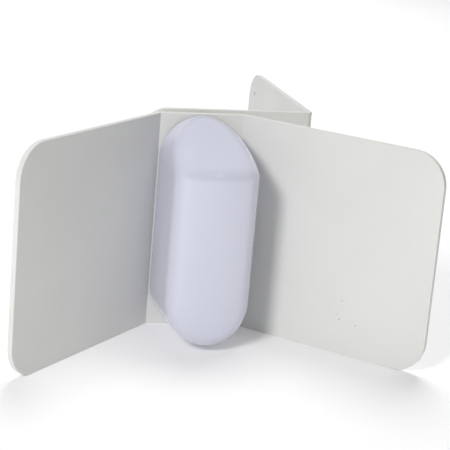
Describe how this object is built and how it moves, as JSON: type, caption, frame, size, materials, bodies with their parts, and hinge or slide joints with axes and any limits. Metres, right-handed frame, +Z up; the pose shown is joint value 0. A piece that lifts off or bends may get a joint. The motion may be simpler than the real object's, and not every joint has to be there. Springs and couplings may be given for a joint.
{
  "type": "security gate sensor head",
  "caption": "Folded white panel with angled wings, a lift-off dome cover over sensor electronics, and an L-shaped rear bracket with screw holes for fixing to a counter.",
  "frame": {"origin": "bottom edge of the centre panel, at mid width and mid thickness", "axes": "+X along the centre panel towards the bracket's flange, -Y towards the customer, +Z up"},
  "size_m": [0.3668, 0.3651, 0.2],
  "materials": {
    "white_sheet": "satin, fine texture",
    "gloss_dome": "high gloss moulded",
    "white_nylon": "turned nylon",
    "zinc_steel": "zinc plated",
    "grey_moulding": "moulded, fine texture",
    "brass_turned": "turned",
    "green_board": "solder resist",
    "white_board": "white solder resist",
    "tin_can": "folded tinplate",
    "black_moulding": "moulded",
    "can_sleeve": "shrink sleeve",
    "copper_track": "plated track",
    "lamp_body": "phosphor under clear resin",
    "spring_wire": "drawn wire",
    "red_moulding": "moulded",
    "black_rubber": "moulded rubber",
    "grey_foam": "closed-cell foam"
  },
  "bodies": {
    "frame": {"front_panel": "white_sheet", "rear_bracket": "white_sheet", "spacer_tubes": "white_nylon", "clamp_bolts": "zinc_steel", "tray_washers": "zinc_steel", "rear_washers": "zinc_steel", "clamp_nuts": "zinc_steel", "base_tray": "grey_moulding", "board_pillars": "brass_turned", "main_board": "green_board", "board_screws": "zinc_steel", "shield_can": "tin_can", "terminal_block": "black_moulding", "terminal_screws": "zinc_steel", "sounder": "black_moulding", "power_module": "black_moulding", "capacitors": "can_sleeve", "control_chips": "black_moulding", "antenna_posts": "white_nylon", "antenna_board": "green_board", "antenna_loop": "copper_track", "antenna_screws": "zinc_steel", "led_board": "white_board", "leds": "lamp_body", "tamper_switch": "black_moulding", "tamper_spring": "spring_wire", "front_grommet": "black_rubber", "rear_grommet": "black_rubber", "cover_screws": "zinc_steel"},
    "cover": {"dome_cover": "gloss_dome", "cover_inserts": "brass_turned", "cover_gasket": "grey_foam"},
    "plunger": {"tamper_plunger": "red_moulding"}
  },
  "joints": [
    {"name": "cover_lift", "type": "slide", "parent": "frame", "child": "cover", "axis": [0, -1, 0], "range_m": [0, 0.09]},
    {"name": "plunger_rise", "type": "slide", "parent": "frame", "child": "plunger", "axis": [0, -1, 0], "range_m": [0, 0.0025]}
  ],
  "couplings": [
    {"joint": "plunger_rise", "follows": "cover_lift", "ratio": 0.0277}
  ]
}
